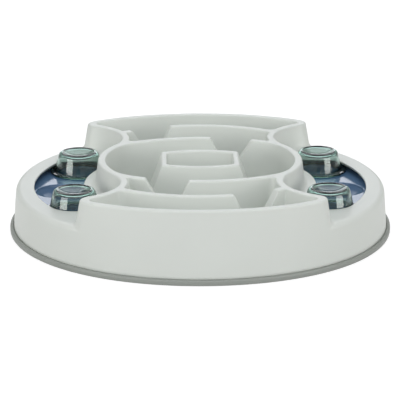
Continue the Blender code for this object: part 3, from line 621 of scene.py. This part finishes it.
# Moulded polypropylene: an even pale grey with a faint green cast, a satin skin with a fine
# grain from the mould, and slow drifts of tone where the melt cooled. The mould's grain of about
# 0.1 mm is too fine to show and is drawn 0.9 mm wide.
COOLING_PATCH, MOULD_GRAIN = 0.045, 0.0009
grey_plastic, tree, shader, place = new_material("pale grey polypropylene, satin moulded", {"IOR": 1.49})
cooling = add(tree, "TexNoise", {"Vector": place, "Scale": 1 / COOLING_PATCH, "Detail": 2.0}).outputs["Fac"]
grain = add(tree, "TexNoise", {"Vector": place, "Scale": 1 / MOULD_GRAIN, "Detail": 3.0}).outputs["Fac"]
tone = add(tree, "MixRGB", {"Fac": cooling, "Color1": linear("#D7DBD5"), "Color2": linear("#DCE0DA")})
satin = add(tree, "MapRange", {"Value": grain, "To Min": 0.36, "To Max": 0.46})
relief = add(tree, "Bump", {"Height": grain, "Strength": 0.12, "Distance": 0.00006})
wire(tree, shader, {"Base Color": tone.outputs["Color"], "Roughness": satin.outputs["Result"],
                    "Normal": relief.outputs["Normal"]})

bowl = make_piece("bowl_body", body, grey_plastic)
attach(bowl, "feeder")
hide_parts("feeder_body")

# Non-slip ring: a soft channel of grey thermoplastic rubber, moulded as one loop and pressed over
# the foot of the skirt. Its outer shoulder is rounded and its sole lies flat on the floor.
RING_OUTER, RING_INNER, RING_HEIGHT, RING_SOLE = 150.6, 140.6, 4.2, 1.7
RING_SHOULDER, RING_TOE, RING_CHAMFER, RING_LIP, FIT = 1.5, 0.5, 0.7, 0.15, 0.3
RING_ROUND_STEPS = 360


def bend_round(centre, radius, start, end, steps):
    """(radius, height) points on an arc about a centre, between two angles in degrees."""
    angle = np.radians(np.linspace(start, end, steps + 1))
    return list(zip(centre[0] + radius * np.cos(angle), centre[1] + radius * np.sin(angle)))


grip = FOOT_RADIUS - SKIN - 2 * FIT
lip_edge = (skirt(RING_HEIGHT) + RING_LIP, RING_HEIGHT)
shoulder_centre = (RING_OUTER - RING_SHOULDER, RING_HEIGHT - RING_SHOULDER)
ring_profile = [lip_edge] + bend_round(shoulder_centre, RING_SHOULDER, 90, 0, 8)
ring_profile += bend_round((RING_OUTER - RING_TOE, RING_TOE), RING_TOE, 0, -90, 4)
ring_profile += [(RING_INNER + RING_CHAMFER, 0.0), (RING_INNER, RING_CHAMFER),
                 (RING_INNER, RING_HEIGHT - RING_CHAMFER), (RING_INNER + RING_CHAMFER, RING_HEIGHT),
                 (grip, RING_HEIGHT), (grip, RING_SOLE), (FOOT_RADIUS + FIT, RING_SOLE), lip_edge]

# Thermoplastic rubber: a dull mid grey that scatters light evenly, with a fine dry grain. The
# grain of about 0.2 mm is drawn 1.2 mm wide, so that it shows.
RUBBER_GRAIN = 0.0012
rubber, tree, shader, place = new_material("grey thermoplastic rubber, dull", {"IOR": 1.5})
grain = add(tree, "TexNoise", {"Vector": place, "Scale": 1 / RUBBER_GRAIN, "Detail": 4.0}).outputs["Fac"]
tone = add(tree, "MixRGB", {"Fac": grain, "Color1": linear("#8F938D"), "Color2": linear("#9A9E98")})
dull = add(tree, "MapRange", {"Value": grain, "To Min": 0.45, "To Max": 0.58})
relief = add(tree, "Bump", {"Height": grain, "Strength": 0.25, "Distance": 0.0001})
wire(tree, shader, {"Base Color": tone.outputs["Color"], "Roughness": dull.outputs["Result"],
                    "Normal": relief.outputs["Normal"]})

points, faces, smooth = turned(ring_profile, RING_ROUND_STEPS)
ring = make_piece("grip_ring", [(swelled(points), faces, smooth)], rubber)
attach(ring, "feeder")
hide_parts("non_slip_ring")

# Treat trays: two glossy slate blue ABS mouldings screwed up under the ledges, each with three
# round hollows along the track, into which treats go below the cups.
TRAY_TOP, TRAY_WALL, TRAY_INNER, TRAY_OUTER, TRAY_BAY = 28.4, 2.2, 80.6, 141.4, 41.4
HOLLOW_RADIUS, HOLLOW_DEPTH, HOLLOW_EDGE, HOLLOW_POWER = 18.2, 9.0, 1.2, 2.6
HOLLOW_STEPS, HOLLOW_EDGE_STEPS, HOLLOW_CURVE_STEPS, HOLLOW_BACK_STEPS = 96, 6, 24, 19
TRAY_HOLE, TRAY_CORNER, TRAY_EDGE, TRAY_SEED_ANGLE = 1.6, 2.0, 0.4, math.radians(30)
tray_edges = [Arc(0, 0, TRAY_OUTER, 1, no_draw), Arc(BAY_X, BAY_Y, TRAY_BAY, 1, no_draw),
              Arc(0, 0, TRAY_INNER, -1, no_draw), Arc(BAY_X, -BAY_Y, TRAY_BAY, 1, no_draw)]
tray_under = TRAY_TOP - TRAY_WALL
tray_levels = lip(TRAY_TOP, TRAY_EDGE, 1, 3) + [(tray_under, 0.0)]
tray_seed = (TRAY_OUTER * math.cos(TRAY_SEED_ANGLE), TRAY_OUTER * math.sin(TRAY_SEED_ANGLE))
tray_rim = walls(tray_edges, tray_seed, tray_levels, TRAY_CORNER)

# A hollow falls from its rounded edge by depth * (1 - share of the radius ^ power), and its back
# is half an ellipsoid that meets the tray's underside.
rim_z, curve_depth = TRAY_TOP - HOLLOW_EDGE, HOLLOW_DEPTH - HOLLOW_EDGE
hollow = [(HOLLOW_RADIUS + HOLLOW_EDGE + FLAT_BAND, TRAY_TOP)]
hollow += bend_round((HOLLOW_RADIUS + HOLLOW_EDGE, rim_z), HOLLOW_EDGE, 90, 180, HOLLOW_EDGE_STEPS)
inward = np.linspace(1.0, 0.0, HOLLOW_CURVE_STEPS + 1)[1:]
hollow += list(zip(HOLLOW_RADIUS * inward, rim_z - curve_depth * (1 - inward ** HOLLOW_POWER)))
back_depth, back_radius = curve_depth + TRAY_WALL, HOLLOW_RADIUS + TRAY_WALL
back_start = math.asin((rim_z - tray_under) / back_depth)
back_angle = np.linspace(back_start, math.pi / 2, HOLLOW_BACK_STEPS + 1)
hollow_back = list(zip(back_radius * np.cos(back_angle), rim_z - back_depth * np.sin(back_angle)))
hollow_places = [(TRACK_RADIUS * math.cos(a), TRACK_RADIUS * math.sin(a))
                 for a in (-TRACK_ANGLE, 0.0, TRACK_ANGLE)]
hollows = [turned(hollow, HOLLOW_STEPS, at, flip=False) for at in hollow_places]
backs = [turned(hollow_back, HOLLOW_STEPS, at) for at in hollow_places]
hole = [(TRAY_HOLE, TRAY_TOP), (TRAY_HOLE, tray_under)]
holes = [turned(hole, BOSS_STEPS, at, flip=False) for at in boss_places]
top_loops = [tray_rim[0]] + [h[0][:HOLLOW_STEPS] for h in hollows] + [h[0][:BOSS_STEPS] for h in holes]
under_loops = [tray_rim[-1]] + [b[0][:HOLLOW_STEPS] for b in backs] + [h[0][-BOSS_STEPS:] for h in holes]
tray_right = [strip(tray_rim, flip=True), flat(top_loops), flat(under_loops, up=False)]
tray_right += hollows + backs + holes

# Polished ABS: a deep slate blue with a clear gloss that mirrors the room at low angles, faint
# clouds of tone, and scuffs of a few millimetres that widen the mirror here and there.
CLOUD, SCUFF = 0.03, 0.0025
blue_plastic, tree, shader, place = new_material("slate blue ABS, polished", {"IOR": 1.53})
cloud = add(tree, "TexNoise", {"Vector": place, "Scale": 1 / CLOUD, "Detail": 3.0}).outputs["Fac"]
scuff = add(tree, "TexNoise", {"Vector": place, "Scale": 1 / SCUFF, "Detail": 4.0}).outputs["Fac"]
tone = add(tree, "MixRGB", {"Fac": cloud, "Color1": linear("#4C6A8A"), "Color2": linear("#557394")})
gloss = add(tree, "MapRange", {"Value": scuff, "To Min": 0.08, "To Max": 0.16})
relief = add(tree, "Bump", {"Height": cloud, "Strength": 0.05, "Distance": 0.0002})
wire(tree, shader, {"Base Color": tone.outputs["Color"], "Roughness": gloss.outputs["Result"],
                    "Normal": relief.outputs["Normal"]})

for side, surfaces in (("right", tray_right), ("left", [opposite(surface) for surface in tray_right])):
    tray = make_piece(f"treat_tray_{side}", surfaces, blue_plastic)
    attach(tray, "feeder")
    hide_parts(f"{side}_tray")

# Sliding cups: four clear smoky teal polycarbonate caps, each with a dished finger hold on top
# and a wide foot flange that is trapped between ledge and tray, so that it slides along its track.
CUP_STEPS, CUP_CURVE_STEPS, CUP_ANGLE = 128, 6, 28.8


def smooth_line(points, steps):
    """Curve through points: on each span the cubic whose end slopes run between the neighbours."""
    points = np.array(points)
    padded = np.vstack((2 * points[0] - points[1], points, 2 * points[-1] - points[-2]))
    p0, p1, p2, p3 = (padded[i:len(padded) - 3 + i, None] for i in range(4))
    t = np.linspace(0, 1, steps, endpoint=False)[:, None]
    curve = 0.5 * (2 * p1 + (p2 - p0) * t + (2 * p0 - 5 * p1 + 4 * p2 - p3) * t ** 2
                   + (3 * p1 - p0 - 3 * p2 + p3) * t ** 3)
    return np.vstack((curve.reshape(-1, 2), points[-1:])).tolist()


# The cup's section as (radius, height) points: dish, crest and outside, the flange, then the inside.
DISH_Z, DISH_RISE, DISH_RADIUS, DISH_POWER = 42.2, 3.75, 12.8, 2.2
DISH_SHARES = (0.0, 0.2, 0.4, 0.6, 0.78, 0.9)
FLANGE_TOP, FLANGE_FOOT, FLANGE_EDGE, FLANGE_ROUND = 29.95, 29.05, 22.65, 0.35
dish = [(DISH_RADIUS * s, DISH_Z + DISH_RISE * s ** DISH_POWER) for s in DISH_SHARES]
crest = [(12.45, 45.75), (12.9, 46.0), (13.6, 45.95), (14.4, 45.7), (15.3, 45.15)]
outside = [(16.05, 44.25), (16.65, 42.8), (17.1, 41.1), (17.55, 39.3), (18.0, 37.2), (18.45, 35.0),
           (18.85, 33.0), (19.15, 31.6), (19.4, 30.75)]
flange = [(20.0, 30.3), (22.5, 30.3)] + bend_round((FLANGE_EDGE, FLANGE_TOP), FLANGE_ROUND, 80, 0, 3)
flange += bend_round((FLANGE_EDGE, FLANGE_FOOT), FLANGE_ROUND, 0, -90, 3) + [(17.75, 28.7), (17.55, 28.9)]
inside = [(17.6, 28.9), (17.55, 31.0), (17.3, 33.0), (16.9, 35.0), (16.45, 37.2), (16.0, 39.3),
          (15.5, 41.1), (14.9, 42.6), (14.2, 43.5), (13.4, 43.85), (12.5, 43.65), (11.6, 43.15),
          (10.2, 42.4), (8.0, 41.55), (5.5, 40.95), (2.8, 40.65), (0.0, 40.6)]
cup_profile = smooth_line(dish + crest + outside + flange[:1], CUP_CURVE_STEPS) + flange[1:]
cup_profile += smooth_line(inside, CUP_CURVE_STEPS)[1:]

# Clear polycarbonate: glassy all over, tinted smoky teal in the depth of its wall, so thick edges
# look darker than the walls. Handling leaves faint patches of haze a few millimetres wide.
HAZE = 0.004
clear_teal, tree, shader, place = new_material(
    "smoky teal polycarbonate, clear",
    {"Base Color": linear("#FBFDFC"), "IOR": 1.58, "Transmission Weight": 1.0})
haze = add(tree, "TexNoise", {"Vector": place, "Scale": 1 / HAZE, "Detail": 3.0}).outputs["Fac"]
clear = add(tree, "MapRange", {"Value": haze, "To Min": 0.01, "To Max": 0.03})
wire(tree, shader, {"Roughness": clear.outputs["Result"]})
tint = add(tree, "VolumeAbsorption", {"Color": linear("#6CAF9F"), "Density": 320.0})
wire(tree, tree.nodes["Material Output"], {"Volume": tint.outputs["Volume"]})

for name, degrees in (("front_right", -CUP_ANGLE), ("back_right", CUP_ANGLE),
                      ("back_left", 180 - CUP_ANGLE), ("front_left", 180 + CUP_ANGLE)):
    at = (TRACK_RADIUS * math.cos(math.radians(degrees)), TRACK_RADIUS * math.sin(math.radians(degrees)))
    cup = make_piece(f"sliding_cup_{name}", [turned(cup_profile, CUP_STEPS, at)], clear_teal)
    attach(cup, f"cup_{name}_slider")
    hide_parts(f"cup_{name}")

# Tray screws: twelve short pan head screws of zinc plated steel, driven up through the trays into
# the bosses under the ledges, with a cross recess for the driver.
SCREW_STEPS, SCREW_RADIUS, SCREW_LENGTH = 48, 1.2, 6.0
PITCH, THREAD_DEPTH, THREAD_FROM, THREAD_STEPS = 0.8, 0.18, 0.4, 24
HEAD_RADIUS, HEAD_HEIGHT, HEAD_ROUND, FACE_STEPS = 2.4, 1.6, 1.0, 14
CROSS_ARM, CROSS_HALF, CROSS_DEPTH, CROSS_EDGE = 1.35, 0.32, 0.8, 0.1
seat = tray_under - FIT
head_foot = seat - HEAD_HEIGHT
thread_z = np.linspace(seat + SCREW_LENGTH - SCREW_RADIUS, seat + THREAD_FROM, THREAD_STEPS)
thread = SCREW_RADIUS - THREAD_DEPTH * (1 - np.cos(math.tau * (thread_z - seat) / PITCH)) / 2
screw_profile = [(0.0, seat + SCREW_LENGTH)] + list(zip(thread, thread_z))
screw_profile += [(SCREW_RADIUS, seat), (HEAD_RADIUS, seat)]
screw_profile += bend_round((HEAD_RADIUS - HEAD_ROUND, head_foot + HEAD_ROUND), HEAD_ROUND, 0, -90, 8)
screw_profile += [(r, head_foot) for r in np.linspace(HEAD_RADIUS - HEAD_ROUND, 0.0, FACE_STEPS + 1)[1:]]
points, faces, _ = turned(screw_profile, SCREW_STEPS)
across, along = np.sort(np.abs(points[:, :2]), 1).T
in_cross = np.clip((CROSS_HALF - across) / CROSS_EDGE, 0, 1) * np.clip((CROSS_ARM - along) / CROSS_EDGE, 0, 1)
points[:, 2] += np.where(points[:, 2] < head_foot + NEAR, CROSS_DEPTH * in_cross, 0.0)

# Zinc plate: a bright bluish metal, slightly clouded by the plating in spots of about 0.6 mm.
PLATING_SPOT = 0.0006
zinc, tree, shader, place = new_material("zinc plated steel", {"Metallic": 1.0})
spots = add(tree, "TexNoise", {"Vector": place, "Scale": 1 / PLATING_SPOT, "Detail": 3.0}).outputs["Fac"]
tone = add(tree, "MixRGB", {"Fac": spots, "Color1": linear("#AEB3B8"), "Color2": linear("#C6CACD")})
plated = add(tree, "MapRange", {"Value": spots, "To Min": 0.22, "To Max": 0.38})
wire(tree, shader, {"Base Color": tone.outputs["Color"], "Roughness": plated.outputs["Result"]})

for side in ("left", "right"):
    for number in range(1, 7):
        node = f"{side}_tray_screw_{number}"
        corners = np.array([list(c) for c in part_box(node)]) * 1000
        shift = np.append(corners[:, :2].mean(0), 0.0)
        screw = make_piece(f"tray_screw_{side}_{number}", [(points + shift, faces, True)], zinc)
        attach(screw, "feeder")
        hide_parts(node)

# Studio: a grey floor that looks white to the camera, gloss and glass and keeps the shadow, in a dim
# room. Broad soft lamps hang in front and behind, a small one low behind shows in the trays, and a
# lamp on each side, with a card that only gloss and glass see, draws bars on the cups. In metres.
FLOOR_REACH, FLOOR_DROP, FLOOR_GLOW, ROOM_LIGHT = 6, 0.0002, 0.78, 0.35
COOL_WHITE, SOFT_WHITE, CARD_WHITE = (0.97, 0.99, 1.04), (1, 1, 0.98), (1, 1, 0.95)
GROUND, MIDDLE = (0, 0, 0), (0, 0, 0.04)
floor_corners = [(x * FLOOR_REACH, y * FLOOR_REACH, 0) for x, y in ((-1, -1), (1, -1), (1, 1), (-1, 1))]
floor_mesh = bpy.data.meshes.new("studio_floor")
floor_mesh.from_pydata(floor_corners, [], [(0, 1, 2, 3)])
floor = bpy.data.objects.new("studio_floor", floor_mesh)
floor.location.z = -FLOOR_DROP
bpy.context.scene.collection.objects.link(floor)
paper, tree, shader, _ = new_material("grey paper floor, seen white", {
    "Base Color": linear("#A0A0A0"), "Roughness": 0.9, "Emission Color": (1, 1, 1, 1)})
rays = add(tree, "LightPath", {}).outputs
seen = add(tree, "Math", {0: rays["Is Camera Ray"], 1: rays["Is Glossy Ray"]}, operation="MAXIMUM")
seen = add(tree, "Math", {0: seen.outputs[0], 1: rays["Is Transmission Ray"]}, operation="MAXIMUM")
glow = add(tree, "Math", {0: seen.outputs[0], 1: FLOOR_GLOW}, operation="MULTIPLY")
wire(tree, shader, {"Emission Strength": glow.outputs[0]})
floor_mesh.materials.append(paper)

world = bpy.data.worlds.new("dim_room")
bpy.context.scene.world = world
world.use_nodes = True
room = world.node_tree
wire(room, room.nodes["Background"], {"Color": (1, 1, 1, 1), "Strength": ROOM_LIGHT})

for name, place, target, size, power, colour in (
    ("front_overhead_lamp", (0.0, -1.12, 0.97), GROUND, (2.6, 0.8), 9.7, COOL_WHITE),
    ("back_overhead_lamp", (0.0, 0.9, 1.2), GROUND, (1.6, 1.0), 7.5, COOL_WHITE),
    ("back_lamp", (0.03, 1.25, 0.4), MIDDLE, (0.7, 0.3), 1.15, COOL_WHITE),
    ("left_lamp", (-0.86, -0.64, 0.23), MIDDLE, (0.66, 0.42), 3.0, SOFT_WHITE),
    ("right_lamp", (0.86, -0.64, 0.23), MIDDLE, (0.66, 0.42), 2.7, SOFT_WHITE),
    ("left_card", (-0.84, -0.625, 0.23), MIDDLE, (0.62, 0.41), 1.7, CARD_WHITE),
    ("right_card", (0.84, -0.625, 0.23), MIDDLE, (0.62, 0.41), 1.7, CARD_WHITE),
):
    light = bpy.data.lights.new(name, "AREA")
    light.shape, (light.size, light.size_y), light.energy, light.color = "RECTANGLE", size, power, colour
    lamp = bpy.data.objects.new(name, light)
    lamp.location = place
    lamp.visible_camera, lamp.visible_diffuse = False, not name.endswith("card")
    lamp.rotation_euler = (Vector(place) - Vector(target)).to_track_quat("Z", "Y").to_euler()
    bpy.context.scene.collection.objects.link(lamp)

lens = bpy.data.cameras.new("photo_camera")
lens.sensor_width, lens.lens, lens.shift_x = 36.0, 187.45, -0.0001
camera = bpy.data.objects.new("photo_camera", lens)
camera.location = (-0.0382, -1.5829, 0.4984)
camera.rotation_euler = (math.radians(73.195), 0.0, math.radians(-1.38))
bpy.context.scene.collection.objects.link(camera)
bpy.context.scene.camera = camera
bpy.context.scene.view_settings.view_transform = "Standard"
